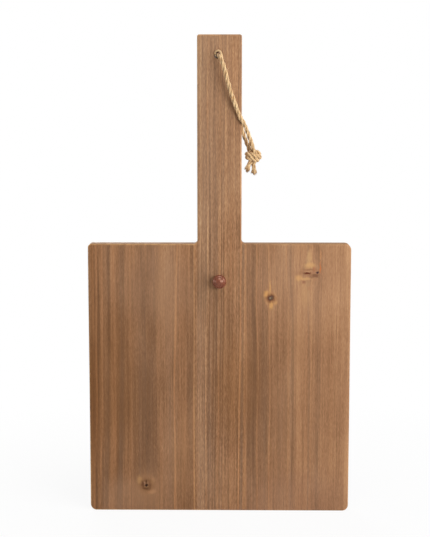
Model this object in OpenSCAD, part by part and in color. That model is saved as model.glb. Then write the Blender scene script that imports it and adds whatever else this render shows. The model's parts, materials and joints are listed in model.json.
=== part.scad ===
// Paddle board: three edge-glued planks, a turned peg and a cord loop.
// The board stands upright on its foot. Z is up along the handle, the front face looks along -Y,
// and the origin is the middle of the foot.

/* [Blade] */
// Width across the blade
board_w = 305; // [260:1:360]
// Height of the blade, from its foot to its shoulders
blade_h = 318; // [260:1:380]
// Thickness of the planks
board_t = 19; // [17:0.5:24]
// Radius of the blade's corners, seen from the front
corner_r = 7; // [4:0.5:14]
// Chamfer along the outer edges
edge_c = 1.5; // [0.5:0.25:2.5]

/* [Handle] */
// Width of the handle
handle_w = 51; // [46:1:64]
// Length of the handle above the shoulders
handle_l = 239; // [190:1:280]
// Radius of the handle's top corners
handle_r = 2.5; // [1.5:0.5:5]
// Radius of the inner corners between the handle and the shoulders
inner_r = 4; // [2:0.5:8]

/* [Cord hole] */
// Diameter of the hole
hole_d = 8; // [7:0.5:12]
// Distance of the hole's centre below the top of the handle
hole_drop = 23; // [16:1:40]
// Distance of the hole's centre from the middle, towards the left
hole_off = 1.5; // [0:0.5:4]

/* [Dowels] */
// Diameter of the dowels
dowel_d = 8; // [6:1:10]
// Length of the dowels
dowel_l = 40; // [30:1:44]
// Bevel at the dowels' ends
dowel_bevel = 1.5; // [0.5:0.25:2.5]

/* [Peg] */
// Distance of the peg's centre below the shoulders
peg_drop = 43; // [30:1:60]
// Diameter of the peg's head
peg_head_d = 16; // [13:0.5:22]
// Diameter of the neck between the head and the board
peg_neck_d = 9; // [9:0.5:11]
// Length of the neck, which is the room behind the head
peg_neck_l = 5; // [4.5:0.5:9]
// Height of the flare from the neck to the rim
peg_flare_h = 2; // [1:0.25:4]
// Height of the rim
peg_rim_h = 3; // [2:0.25:5]
// Height of the dome above the rim
peg_dome_h = 4; // [2:0.25:6]
// Step from the rim in to the dome
peg_step = 0.75; // [0.25:0.25:2]
// Diameter of the tenon inside the board
tenon_d = 8; // [6:0.5:8]
// Length of the tenon inside the board
tenon_l = 11; // [8:0.5:13]

/* [Cord] */
// Diameter of the cord
cord_d = 5; // [4:0.5:6]
// Width of the knot
knot_w = 19; // [16:0.5:24]
// Height and depth of the knot
knot_h = 13.5; // [11:0.5:16]

/* [Hidden] */
$fn = 64;
knot_fn = 32;
cord_sides = 10;

// Overrun of every cut past the surface that it leaves
over = 1;
// Room for glue around a dowel or a tenon
glue_gap = 0.1;
// Room past the end of a dowel or a tenon
end_room = 1;

// The seams run where the inner corners meet the shoulders
seam_x = handle_w / 2 + inner_r;
plank_w = board_w / 2 - seam_x;
total_h = blade_h + handle_l;
hole_x = -hole_off;
hole_z = total_h - hole_drop;
peg_z = blade_h - peg_drop;
dowel_depth = dowel_l / 2;
dowel_level_shares = [0.14, 0.44, 0.74];

wood = [0.60, 0.44, 0.32];
pale_wood = [0.78, 0.64, 0.46];
red_wood = [0.36, 0.14, 0.10];
jute = [0.78, 0.62, 0.40];

// The cord's loop hangs to the right, against the handle's edge. Its strands cross that edge this far
// from the hole, which sets how far the loop leans from straight down
edge_along = 80;
lean = asin((handle_w / 2 + hole_off) / edge_along);
loop_across = [cos(lean), 0, sin(lean)];

// Route of each strand from the hole's mouth to the knot, as the distance from the hole along the
// loop, the distance out from the board's face, and the distance aside
front_route = [
    [0, 0, 0], [1.3, 5.5, 0.4], [4, 9.4, 1.2], [10, 12.4, 1.8], [20, 11.2, 1.2], [32, 8.6, 0],
    [44, 6.4, -0.6], [56, 4.8, -0.6], [64, 3.8, -0.5], [70, 3.2, -0.3], [76, 2.9, 0.2], [80, 1.8, 0.9],
    [84, -0.3, 1.5], [90, -2.5, 2], [98, -4.5, 2.2], [106, -6, 2.2], [113, -7, 2.1], [119, -7, 2]
];
back_route = [
    [0, 0, 0], [1.5, 5.5, -0.5], [4, 9, -1], [10, 12.5, -1.5], [20, 12, -2], [32, 10.5, -2.5],
    [44, 8.5, -2.5], [56, 6.5, -3], [68, 4.5, -3], [78, 3.5, -3], [84, 3, -3], [90, 2.5, -3],
    [94, 1, -3], [98, -0.5, -3], [104, -3, -3], [110, -5.5, -2.5], [116, -7, -2.5], [120, -7, -2.5]
];
// The knot's centre, as the distance from the hole along the loop
knot_along = 122;
// Routes of the tails from the knot's centre, as X, Y and Z, and how much each point is swollen
left_tail = [[-4.5, -2, -3], [-5.5, -2, -8], [-6.5, -2, -13.5], [-8, -2, -19]];
right_tail = [[0, 2.5, -3], [-0.5, 2, -9], [0, 2, -15], [1, 2, -22.5]];
tail_swell_shares = [1, 1, 1.1, 1.25];

// A route's point in the part's frame, for the front strand (face -1) or the back strand (face 1)
function laid(p, face) = [
    hole_x + p[0] * sin(lean) + p[2] * cos(lean),
    face * (board_t / 2 + p[1]),
    hole_z - p[0] * cos(lean) + p[2] * sin(lean)
];

knot_at = [hole_x + knot_along * sin(lean), 0, hole_z - knot_along * cos(lean)];
loop_path = concat(
    [for (i = [len(front_route) - 1 : -1 : 0]) laid(front_route[i], -1)],
    [for (p = back_route) laid(p, 1)]
);

function unit(v) = v / norm(v);
function heading(path, i) = unit(path[min(i + 1, len(path) - 1)] - path[max(i - 1, 0)]);
function square_to(v, t) = unit(v - (v * t) * t);
function ring(at, t, e, r, sides) = [
    for (k = [0 : sides - 1]) at + r * (cos(360 * k / sides) * e + sin(360 * k / sides) * cross(t, e))
];

// A round tube along a path, with its radius at each point
module swept_tube(path, radii, sides) {
    rings = [
        for (i = [0 : len(path) - 1])
            let (t = heading(path, i))
                ring(path[i], t, square_to(loop_across, t), radii[i], sides)
    ];
    last = (len(path) - 1) * sides;
    walls = [
        for (i = [0 : len(path) - 2], k = [0 : sides - 1])
            let (a = i * sides + k, b = i * sides + (k + 1) % sides)
                each [[a, a + sides, b + sides], [a, b + sides, b]]
    ];
    start_cap = [for (k = [0 : sides - 1]) k];
    end_cap = [for (k = [sides - 1 : -1 : 0]) last + k];
    polyhedron([for (r = rings) each r], concat([start_cap], walls, [end_cap]));
}

module on_both_faces() {
    children();
    mirror([0, 1, 0]) children();
}

// What a chamfer takes off the front face's edge, where the outline reaches out to the given distance
module edge_section(reach) {
    polygon([
        [reach - edge_c - over, -board_t / 2 - over],
        [reach + over, -board_t / 2 - over],
        [reach + over, -board_t / 2 + edge_c + over]
    ]);
}

// The same around an inner corner, where the wood lies outside the radius
module inner_section(reach) {
    polygon([
        [reach + edge_c + over, -board_t / 2 - over],
        [reach - over, -board_t / 2 + edge_c + over],
        [reach - over, -board_t / 2 - over]
    ]);
}

// Chamfer cut along an upright edge on the right
module upright_cut(reach, low, high) {
    translate([0, 0, low]) linear_extrude(high - low) edge_section(reach);
}

// Chamfer cut along a level edge on the top
module level_cut(reach, from, to) {
    translate([to, 0, 0]) rotate([0, -90, 0]) linear_extrude(to - from) edge_section(reach);
}

module plank_outline() {
    translate([seam_x, 0]) square([plank_w - corner_r, blade_h]);
    translate([seam_x, corner_r]) square([plank_w, blade_h - 2 * corner_r]);
    for (z = [corner_r, blade_h - corner_r])
        translate([board_w / 2 - corner_r, z]) circle(corner_r);
}

// Chamfers around a side plank's three outer edges
module plank_cuts() {
    corner_x = board_w / 2 - corner_r;
    upright_cut(board_w / 2, corner_r, blade_h - corner_r);
    level_cut(blade_h, seam_x - over, corner_x);
    mirror([0, 0, 1]) level_cut(0, seam_x - over, corner_x);
    translate([corner_x, 0, blade_h - corner_r])
        rotate([90, 0, 0]) rotate_extrude(angle = 90) edge_section(corner_r);
    translate([corner_x, 0, corner_r])
        rotate([-90, 0, 0]) rotate_extrude(angle = 90) edge_section(corner_r);
}

// Bores for the dowels of the right seam, through both planks at once
module dowel_bores() {
    bore_l = dowel_l + 2 * end_room;
    for (share = dowel_level_shares)
        translate([seam_x - bore_l / 2, 0, share * blade_h])
            rotate([0, 90, 0]) cylinder(d = dowel_d + 2 * glue_gap, h = bore_l);
}

module side_plank() {
    difference() {
        rotate([90, 0, 0]) linear_extrude(board_t, center = true) plank_outline();
        on_both_faces() plank_cuts();
        dowel_bores();
    }
}

module right_plank() {
    color(wood) side_plank();
}

module left_plank() {
    color(wood) mirror([1, 0, 0]) side_plank();
}

module stave_outline() {
    translate([-seam_x, 0]) square([2 * seam_x, blade_h]);
    translate([-handle_w / 2, 0]) square([handle_w, total_h - handle_r]);
    translate([handle_r - handle_w / 2, 0]) square([handle_w - 2 * handle_r, total_h]);
    for (side = [0, 1])
        mirror([side, 0]) {
            translate([handle_w / 2 - handle_r, total_h - handle_r]) circle(handle_r);
            difference() {
                translate([handle_w / 2 - over, blade_h - over]) square(inner_r + over);
                translate([seam_x, blade_h + inner_r]) circle(inner_r);
            }
        }
}

// Chamfers around the handle's right half and the stave's foot
module stave_cuts() {
    upright_cut(handle_w / 2, blade_h + inner_r, total_h + over);
    level_cut(total_h, -over, handle_w / 2 + over);
    mirror([0, 0, 1]) level_cut(0, -over, seam_x + over);
    translate([seam_x, 0, blade_h + inner_r])
        mirror([1, 0, 0]) rotate([-90, 0, 0]) rotate_extrude(angle = 90) inner_section(inner_r);
}

module centre_stave() {
    color(wood)
        difference() {
            rotate([90, 0, 0]) linear_extrude(board_t, center = true) stave_outline();
            for (side = [0, 1])
                mirror([side, 0, 0]) {
                    on_both_faces() stave_cuts();
                    dowel_bores();
                }
            translate([hole_x, 0, hole_z])
                rotate([90, 0, 0]) cylinder(d = hole_d, h = board_t + 2 * over, center = true);
            translate([0, tenon_l + end_room - board_t / 2, peg_z])
                rotate([90, 0, 0]) cylinder(d = tenon_d + 2 * glue_gap, h = tenon_l + end_room + over);
        }
}

module dowel() {
    rotate([0, 90, 0]) {
        cylinder(d = dowel_d, h = dowel_l - 2 * dowel_bevel, center = true);
        for (end = [0, 1])
            mirror([0, 0, end])
                translate([0, 0, dowel_depth - dowel_bevel])
                    cylinder(d1 = dowel_d, d2 = dowel_d - 2 * dowel_bevel, h = dowel_bevel);
    }
}

module seam_dowels() {
    for (share = dowel_level_shares) translate([seam_x, 0, share * blade_h]) dowel();
}

module right_seam_dowels() {
    color(pale_wood) seam_dowels();
}

module left_seam_dowels() {
    color(pale_wood) mirror([1, 0, 0]) seam_dowels();
}

// The dome is the cap of a ball
module peg_dome() {
    cap_r = peg_head_d / 2 - peg_step;
    ball_r = (cap_r * cap_r + peg_dome_h * peg_dome_h) / (2 * peg_dome_h);
    intersection() {
        translate([0, 0, peg_dome_h - ball_r]) sphere(ball_r);
        cylinder(r = cap_r + over, h = peg_dome_h + over);
    }
}

module hanging_peg() {
    flare_at = peg_neck_l;
    rim_at = flare_at + peg_flare_h;
    dome_at = rim_at + peg_rim_h;
    color(red_wood)
        translate([0, -board_t / 2, peg_z])
            rotate([90, 0, 0]) {
                translate([0, 0, -tenon_l]) cylinder(d = tenon_d, h = tenon_l);
                cylinder(d = peg_neck_d, h = peg_neck_l);
                translate([0, 0, flare_at]) cylinder(d1 = peg_neck_d, d2 = peg_head_d, h = peg_flare_h);
                translate([0, 0, rim_at]) cylinder(d = peg_head_d, h = peg_rim_h);
                translate([0, 0, dome_at]) peg_dome();
            }
}

module hang_cord() {
    color(jute) swept_tube(loop_path, [for (p = loop_path) cord_d / 2], cord_sides);
}

module cord_knot() {
    color(jute)
        translate(knot_at)
            hull()
                for (side = [-1, 1])
                    translate([side * (knot_w - knot_h) / 2, 0, 0]) sphere(d = knot_h, $fn = knot_fn);
}

module cord_tails() {
    radii = [for (share = tail_swell_shares) share * cord_d / 2];
    color(jute)
        for (tail = [left_tail, right_tail])
            swept_tube([for (p = tail) knot_at + p], radii, cord_sides);
}

left_plank();
centre_stave();
right_plank();
left_seam_dowels();
right_seam_dowels();
hanging_peg();
hang_cord();
cord_knot();
cord_tails();
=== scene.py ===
import json
import math
import bpy
import numpy as np
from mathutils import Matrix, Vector


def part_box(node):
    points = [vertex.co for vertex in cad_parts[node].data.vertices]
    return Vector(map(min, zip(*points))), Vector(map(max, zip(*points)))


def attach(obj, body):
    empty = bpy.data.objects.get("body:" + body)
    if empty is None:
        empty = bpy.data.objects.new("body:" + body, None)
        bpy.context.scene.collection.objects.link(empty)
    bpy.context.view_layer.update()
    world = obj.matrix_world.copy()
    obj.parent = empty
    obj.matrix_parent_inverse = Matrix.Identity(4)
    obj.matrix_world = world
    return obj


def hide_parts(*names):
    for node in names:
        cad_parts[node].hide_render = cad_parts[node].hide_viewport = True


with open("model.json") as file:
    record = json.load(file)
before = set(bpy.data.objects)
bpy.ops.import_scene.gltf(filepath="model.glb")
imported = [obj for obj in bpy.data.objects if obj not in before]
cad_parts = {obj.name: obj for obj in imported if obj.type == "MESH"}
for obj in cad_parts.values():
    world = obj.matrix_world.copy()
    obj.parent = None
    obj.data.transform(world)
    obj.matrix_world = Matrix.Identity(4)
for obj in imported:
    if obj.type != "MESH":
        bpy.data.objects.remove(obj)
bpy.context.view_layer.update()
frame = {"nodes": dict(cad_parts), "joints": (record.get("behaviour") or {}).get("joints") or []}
scene = bpy.context.scene
scene.view_settings.view_transform = "Standard"
mm = 0.001  # sizes below are in millimetres unless a note says otherwise
closeEnough = 0.02  # two places this near are the same
print("frame loaded:", ", ".join(sorted(frame["nodes"])))


def boxInMm(node):
    low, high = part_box(node)
    return low / mm, high / mm


def selectNone():
    bpy.ops.object.select_all(action="DESELECT")


def toMode(mode):
    bpy.ops.object.mode_set(mode=mode)


# Places that the frame gives
staveLow, staveHigh = boxInMm("centre_stave")
faceY = staveLow.y  # front face
backY = staveHigh.y
bladeTop = boxInMm("right_plank")[1].z
seamX = staveHigh.x
hole = Vector(frame["joints"][0]["pos_m"]) / mm
knotCentre = sum(boxInMm("cord_knot"), Vector()) / 2

# Camera, set to the view of the photograph
cameraSet = {
    "lookAt": (-5.2, 0, 288.2), "distance": 1574.5, "raisedDegrees": 7.5, "turnedDegrees": 0.72,
    "focalPixels": 1351.3, "imagePixelsHigh": 537, "sensor": 36,
}


def placeCamera(settings):
    raised = math.radians(settings["raisedDegrees"])
    turned = math.radians(settings["turnedDegrees"])
    level = math.cos(raised)
    back = Vector((math.sin(turned) * level, -math.cos(turned) * level, math.sin(raised)))
    place = Vector(settings["lookAt"]) + back * settings["distance"]
    turn = (-back).to_track_quat("-Z", "Y").to_euler()
    bpy.ops.object.camera_add(location=place * mm, rotation=turn)
    camera = bpy.context.object
    camera.data.sensor_width = settings["sensor"]
    camera.data.lens = settings["focalPixels"] / settings["imagePixelsHigh"] * settings["sensor"]
    scene.camera = camera


selectNone()
placeCamera(cameraSet)
print("camera placed")

# Cord: its routes are points of (along the loop, out from the board's face, aside)
cordSet = {
    "diameter": 5, "plies": 3, "sides": 27, "pitch": 23, "ringStep": 0.6, "uneven": 0.075,
    "lumpRings": 9, "capBulge": 0.3, "mapAround": 15, "pathEvery": 3,
    "edgeAlong": 80, "edgeAside": 27,  # the loop crosses the handle's edge here
    "frontLength": 138, "backLength": 139, "radiusInHole": 3.72, "holeFill": 5, "fillBelow": 1,
    "shadeFrom": 12.5, "shade": 1.2, "paintedShadeNearHole": 0.6, "paintedShadeFades": (5, 16),  # painted shade on the cord in and around the hole
    "front": [
        (0, 0, 0), (1.3, 5.5, 0.4), (4, 9.4, 1.2), (10, 12.4, 1.8), (20, 11.2, 1.2), (32, 8.6, 0),
        (44, 6.4, -0.6), (56, 4.8, -0.6), (64, 3.8, -0.5), (70, 3.2, -0.3), (76, 2.9, 0.2), (80, 1.8, 0.9),
        (84, -0.3, 1.5), (90, -2.5, 2), (98, -4.5, 2.2), (106, -6, 2.2), (113, -7, 2.1), (119, -7, 2),
    ],
    "back": [
        (0, 0, 0), (1.5, 5.5, -0.5), (4, 9, -1), (10, 12.5, -1.5), (20, 12, -2), (32, 10.5, -2.5),
        (44, 8.5, -2.5), (56, 6.5, -3), (68, 4.5, -3), (78, 3.5, -3), (84, 3, -3), (90, 2.5, -3),
        (94, 1, -3), (98, -0.5, -3), (104, -3, -3), (110, -5.5, -2.5), (116, -7, -2.5), (120, -7, -2.5),
    ],
}
# Knot: the coil's way around and the core's way down through it, from the knot's centre
knotSet = {
    "pitch": 17, "coilRadius": 2.75, "coreRadius": 2.4,
    "coil": [
        (1, 0.5, 4.6), (4.2, -1.2, 3.8), (6, 0.6, 1.8), (3.6, 4.4, 1.2), (-1, 5.4, 1.8), (-5.6, 3.8, 2.4),
        (-8, 0.4, 2), (-6, -3.6, 1.9), (-2, -5.4, 1.3), (2.4, -5.2, 0.2), (5.8, -2.2, -1.2),
        (5.4, 2.4, -2.2), (1, 5, -2.2), (-4.4, 4.4, -1.4), (-7.4, 1.2, -1.4), (-6.2, -2.8, -2.2),
        (-2.6, -4.9, -3), (1.6, -4.4, -4.2), (3.8, -1.2, -4.6), (1.6, 1.4, -5.2), (-0.2, 1.8, -7),
        (-0.4, 2, -9.5),
    ],
    "core": [(-3, 2.5, 4), (-2.4, 0.5, 0), (-3.4, -0.8, -4), (-4.4, -2, -7), (-4.9, -2, -9)],
}
# Tails: each one's stem out of the knot, and where its plies come apart to, from the knot's centre
tailSet = {
    "radius": 2.6, "plyRadius": 1.75, "plySides": 12, "plyPitch": 9, "plyTaper": 0.2,
    "plyFromRing": -6, "plyApart": (0.8, 1.6), "tipRings": 4, "tipShade": (0.2, 0.8),
    "fibres": 40, "fibreRadius": 0.16, "fibreShade": 0.9, "fibreLength": (0.9, 2.2),
    "fibreBack": (0.2, 2.2), "fibreScatter": 0.6, "fibreSpread": 0.3,
    "stems": [
        [(-4.4, -2, -6.5), (-5.2, -2, -9), (-6.4, -2, -12)],
        [(-0.2, 1.8, -6.5), (-0.4, 2, -10), (-0.2, 2, -14), (0.2, 2, -16.5)],
    ],
    "plyEnds": [
        [(-9.8, -2.6, -14.6), (-8.2, -1.4, -18), (-6, -3, -16.6)],
        [(-2.2, 2.6, -19.4), (0.4, 0.8, -21.4), (2.4, 2.8, -20)],
    ],
}
# Stray fibres along the cord, and one fibre's rings, bend and taper
fuzzSet = {
    "perMm": 1.8, "length": (1.2, 4), "radius": 0.06, "fromRing": 30, "rootAt": 0.8, "lie": (0.6, 2.2),
}
fibreSet = {"rings": (0, 0.4, 0.75), "sides": 3, "bend": 0.3, "taper": 0.6}
# Yarn sprung loose where the cord bends out of the hole, from the hole's mouth
yarnSet = {
    "radius": 1.2, "sides": 12, "pitch": 5,
    "way": [
        (-2, 3, -1), (-2.4, 0.9, -0.5), (-3.1, -0.8, 0.5), (-3.3, -2.6, 2.3), (-1.9, -4, 4),
        (0.6, -5.4, 4.5), (2.8, -7.2, 2.8), (3.9, -9, -0.8), (4.5, -10, -4.5),
    ],
}
seeded = np.random.default_rng(11)


def travelAlong(line):
    return np.r_[0, np.cumsum(np.linalg.norm(np.diff(line, axis=0), axis=1))]


def unit(vector):
    return vector / np.linalg.norm(vector)


def headingsAlong(line):
    headings = np.gradient(line, axis=0)
    return headings / np.linalg.norm(headings, axis=1)[:, None]


# A smooth line through the points, with a point every ringStep
def smoothLine(points):
    points = np.asarray(points, float)
    knots = travelAlong(points)
    slopes = np.gradient(points, knots, axis=0)
    dense = np.linspace(0, knots[-1], 2000)  # fine enough to measure along
    spot = np.clip(np.searchsorted(knots, dense, side="right") - 1, 0, len(knots) - 2)
    span = (knots[spot + 1] - knots[spot])[:, None]
    t = (dense - knots[spot])[:, None] / span
    line = (
        (2 * t**3 - 3 * t**2 + 1) * points[spot] + (t**3 - 2 * t**2 + t) * span * slopes[spot]
        + (3 * t**2 - 2 * t**3) * points[spot + 1] + (t**3 - t**2) * span * slopes[spot + 1]
    )
    travel = travelAlong(line)
    even = np.linspace(0, travel[-1], max(4, round(travel[-1] / cordSet["ringStep"]) + 1))
    return np.stack([np.interp(even, travel, line[:, i]) for i in range(3)], axis=1)


def newStrands():
    return {"verts": [], "faces": [], "maps": [], "foldShades": []}


# Outline of a twisted cord: its plies' round backs, and how deep each point lies between them, which sets
# the painted shade there
def plyOutline(plies, sides):
    angles = np.arange(sides) / sides * 2 * math.pi
    if plies == 1:
        return angles, np.ones(sides), np.zeros(sides)
    part = 2 * math.pi / plies
    off = (angles + part / 2) % part - part / 2
    reachShare, backShare = 0.45, 0.55
    shares = reachShare * np.cos(off) + np.sqrt(backShare**2 - (reachShare * np.sin(off)) ** 2)
    return angles, shares, (1 - shares) / (1 - shares.min())


# Joins a ring of points to the next one, and maps the faces along and around
def addWall(strands, first, sides, low, high, around):
    for k in range(sides):
        a, b = first + k, first + (k + 1) % sides
        u, v = k / sides * around, (k + 1) / sides * around
        strands["faces"].append((a, b, b + sides, a + sides))
        strands["maps"] += [(low, u), (low, v), (high, v), (high, u)]


# Adds one strand along a line: a round or twisted section that turns once every pitch
def addStrand(strands, line, radii, pitch, plies=cordSet["plies"], sides=cordSet["sides"]):
    angles, shares, foldShades = plyOutline(plies, sides)
    radii = np.broadcast_to(radii, len(line))
    headings = headingsAlong(line)
    travel = travelAlong(line)
    plyOf = ((angles + math.pi / plies) // (2 * math.pi / plies)).astype(int) % plies
    lumpRings = cordSet["lumpRings"]
    smoothing = np.ones(lumpRings) / math.sqrt(lumpRings)
    rough = [seeded.normal(size=len(line) + lumpRings - 1) for ply in range(plies)]
    lumps = [np.convolve(noise, smoothing, "valid") for noise in rough]
    lumps = 1 + cordSet["uneven"] * np.transpose(lumps)
    acrossWay = np.cross(headings[0], (0.3, 0.5, 0.81))  # square to the heading
    first = len(strands["verts"])
    for i, centre in enumerate(line):
        acrossWay = unit(acrossWay - headings[i] * (acrossWay @ headings[i]))
        otherWay = np.cross(headings[i], acrossWay)
        turned = angles + 2 * math.pi * travel[i] / pitch
        reach = radii[i] * shares * lumps[i][plyOf]
        ring = centre + np.outer(reach * np.cos(turned), acrossWay)
        ring = ring + np.outer(reach * np.sin(turned), otherWay)
        strands["verts"].extend(ring)
        strands["foldShades"].extend(foldShades)
    for i in range(len(line) - 1):
        addWall(strands, first + i * sides, sides, travel[i], travel[i + 1], cordSet["mapAround"])
    for i, order in ((0, -1), (len(line) - 1, 1)):
        middle = len(strands["verts"])
        strands["verts"].append(line[i] + headings[i] * order * radii[i] * cordSet["capBulge"])
        strands["foldShades"].append(0)
        for k in range(sides):
            pair = (first + i * sides + k, first + i * sides + (k + 1) % sides)
            strands["faces"].append((*pair[::order], middle))
            strands["maps"] += [(travel[i], 0), (travel[i], 1), (travel[i], 0.5)]


# Adds one thin fibre that tapers to a point
def addFibre(strands, start, heading, length, radius, shade=0):
    sides, rings = fibreSet["sides"], fibreSet["rings"]
    heading = unit(heading)
    bend = seeded.normal(0, fibreSet["bend"], 3)
    first = len(strands["verts"])
    acrossWay = unit(np.cross(heading, (0.4, 0.8, 0.45)))  # square to the heading
    otherWay = np.cross(heading, acrossWay)
    for share in rings:
        centre = start + heading * length * share + bend * length * share**2
        thin = radius * (1 - fibreSet["taper"] * share)
        for k in range(sides):
            angle = 2 * math.pi * k / sides
            around = math.cos(angle) * acrossWay + math.sin(angle) * otherWay
            strands["verts"].append(centre + thin * around)
    tip = len(strands["verts"])
    strands["verts"].append(start + heading * length + bend * length)
    strands["foldShades"] += [shade] * (tip + 1 - first)
    for i in range(len(rings) - 1):
        addWall(strands, first + i * sides, sides, 0, length, sides)
    for k in range(sides):
        strands["faces"].append((tip - sides + k, tip - sides + (k + 1) % sides, tip))
        strands["maps"] += [(0, k), (0, k + 1), (length, k)]
    strands["faces"].append(tuple(range(first + sides - 1, first - 1, -1)))
    strands["maps"] += [(0, k) for k in range(sides)]


# Adds stray fibres along a strand
def addFuzz(strands, line, radius):
    headings = headingsAlong(line)
    length = travelAlong(line)[-1]
    for i in seeded.integers(2, len(line) - 2, int(length * fuzzSet["perMm"])):
        out = unit(np.cross(headings[i], seeded.normal(size=3)))
        lie = headings[i] * seeded.choice((-1, 1)) * seeded.uniform(*fuzzSet["lie"])
        size = seeded.uniform(*fuzzSet["length"])
        addFibre(strands, line[i] + out * radius * fuzzSet["rootAt"], out + lie, size, fuzzSet["radius"])


def finishStrands(name, strands):
    mesh = bpy.data.meshes.new(name)
    mesh.from_pydata((np.array(strands["verts"]) * mm).tolist(), [], strands["faces"])
    strandMap = mesh.uv_layers.new(name="strand")
    strandMap.data.foreach_set("uv", np.array(strands["maps"], float).ravel())
    # The fold attribute carries the painted shade between the plies and at the hole
    foldShade = mesh.attributes.new("foldShade", "FLOAT", "POINT")
    foldShade.data.foreach_set("value", np.array(strands["foldShades"], float))
    mesh.shade_smooth()
    piece = bpy.data.objects.new(name, mesh)
    scene.collection.objects.link(piece)
    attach(piece, "cord_loop")
    return piece


lean = math.asin(cordSet["edgeAside"] / cordSet["edgeAlong"])


# A route's point in the frame, for the front strand (face -1) or the back strand (face 1)
def laid(point, face):
    along, out, aside = point
    return (
        hole.x + along * math.sin(lean) + aside * math.cos(lean),
        face * (backY + out),
        hole.z - along * math.cos(lean) + aside * math.sin(lean),
    )


def cordLine(route, face):
    insideHole = [tuple(hole), (hole.x, face * backY / 2, hole.z)]
    return smoothLine(insideHole + [laid(point, face) for point in route])


# The cord, which swells to fill the hole, with painted shade darkening it in and near the hole
def cordPiece(name, line):
    strands = newStrands()
    sunk = np.clip((backY - np.abs(line[:, 1])) / (backY - cordSet["holeFill"]), 0, 1)
    sunk = sunk * (line[:, 2] > hole.z - cordSet["fillBelow"])
    radii = cordSet["diameter"] / 2 * (1 - sunk) + cordSet["radiusInHole"] * sunk
    addStrand(strands, line, radii, cordSet["pitch"])
    x, y, z = np.transpose(strands["verts"])
    # Painted shade: the cord is darkened inside the hole and, fading out, for some way around it
    shade = cordSet["shade"] * (np.abs(y) < cordSet["shadeFrom"]) * (z > hole.z - cordSet["diameter"])
    paintedShadeNearHole = np.interp(np.hypot(x - hole.x, z - hole.z), cordSet["paintedShadeFades"], (cordSet["paintedShadeNearHole"], 0))
    strands["foldShades"] = np.maximum(np.maximum(shade, paintedShadeNearHole), strands["foldShades"])
    return finishStrands(name, strands)


frontLine = cordLine(cordSet["front"], -1)
backLine = cordLine(cordSet["back"], 1)
frontCord = cordPiece("cord_front_strand", frontLine)
backCord = cordPiece("cord_back_strand", backLine)


def fromKnot(points):
    return np.array(points) + np.array(knotCentre)


knotStrands = newStrands()
knotLines = []
for way in ("coil", "core"):
    line = smoothLine(fromKnot(knotSet[way]))
    addStrand(knotStrands, line, knotSet[way + "Radius"], knotSet["pitch"])
    knotLines.append(line)
knotPiece = finishStrands("cord_overhand_knot", knotStrands)


# Adds one ply that has come apart from a tail's end, with loose fibres at its tip
def addFrayedPly(strands, stemLine, plyEnd):
    out = plyEnd - stemLine[-1]
    out = np.array((out[0], out[1], 0)) / np.linalg.norm(out)
    firstApart, lastApart = tailSet["plyApart"]
    plyWay = [stemLine[tailSet["plyFromRing"]] + out * firstApart, stemLine[-1] + out * lastApart, plyEnd]
    plyLine = smoothLine(plyWay)
    radii = tailSet["plyRadius"] * (1 - tailSet["plyTaper"] * np.linspace(0, 1, len(plyLine)) ** 3)
    first = len(strands["foldShades"])
    addStrand(strands, plyLine, radii, tailSet["plyPitch"], 1, tailSet["plySides"])
    tipShade = np.linspace(*tailSet["tipShade"], len(plyLine)).repeat(tailSet["plySides"])
    strands["foldShades"][first:] = [*tipShade, *tailSet["tipShade"]]
    heading = unit(plyLine[-1] - plyLine[-tailSet["tipRings"]])
    for fibre in range(tailSet["fibres"]):
        start = plyLine[-1] - heading * seeded.uniform(*tailSet["fibreBack"])
        start = start + seeded.normal(0, tailSet["fibreScatter"], 3)
        size = seeded.uniform(*tailSet["fibreLength"])
        spread = heading + seeded.normal(0, tailSet["fibreSpread"], 3)
        addFibre(strands, start, spread, size, tailSet["fibreRadius"], tailSet["fibreShade"])


tailStrands = newStrands()
for stem, plyEnds in zip(tailSet["stems"], tailSet["plyEnds"]):
    stemLine = smoothLine(fromKnot(stem))
    addStrand(tailStrands, stemLine, tailSet["radius"], cordSet["pitch"])
    for plyEnd in fromKnot(plyEnds):
        addFrayedPly(tailStrands, stemLine, plyEnd)
tailPiece = finishStrands("cord_frayed_tails", tailStrands)

fuzzStrands = newStrands()
for line in (frontLine, backLine):
    addFuzz(fuzzStrands, line[fuzzSet["fromRing"]:], cordSet["diameter"] / 2)
for line in knotLines:
    addFuzz(fuzzStrands, line, knotSet["coilRadius"])
fuzzPiece = finishStrands("cord_stray_fibres", fuzzStrands)

yarnStrands = newStrands()
yarnMouth = np.array((hole.x, faceY, hole.z))
yarnLine = smoothLine(np.array(yarnSet["way"]) + yarnMouth)
addStrand(yarnStrands, yarnLine, yarnSet["radius"], yarnSet["pitch"], 1, yarnSet["sides"])
yarnPiece = finishStrands("cord_loose_yarn", yarnStrands)

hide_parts("hang_cord")
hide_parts("hang_cord")
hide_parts("cord_knot")
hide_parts("cord_tails")
print("cord laid:", len(frontLine), "and", len(backLine), "rings")


# Selecting by place, as the modelling below needs it
def makeActive(piece):
    if bpy.context.object and bpy.context.object.mode != "OBJECT":
        toMode("OBJECT")
    selectNone()
    bpy.context.view_layer.objects.active = piece
    piece.select_set(True)


def pickEdges(piece, test):
    makeActive(piece)
    toMode("EDIT")
    bpy.ops.mesh.select_mode(type="EDGE")
    bpy.ops.mesh.select_all(action="DESELECT")
    toMode("OBJECT")
    points = [vertex.co / mm for vertex in piece.data.vertices]
    for edge in piece.data.edges:
        edge.select = test(points[edge.vertices[0]], points[edge.vertices[1]])
    toMode("EDIT")


def near(value, wanted):
    return abs(value - wanted) < closeEnough


def roundEdges(piece, test, radius, segments):
    pickEdges(piece, test)
    bpy.ops.mesh.bevel(offset=radius * mm, segments=segments, affect="EDGES", clamp_overlap=False)
    toMode("OBJECT")


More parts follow.
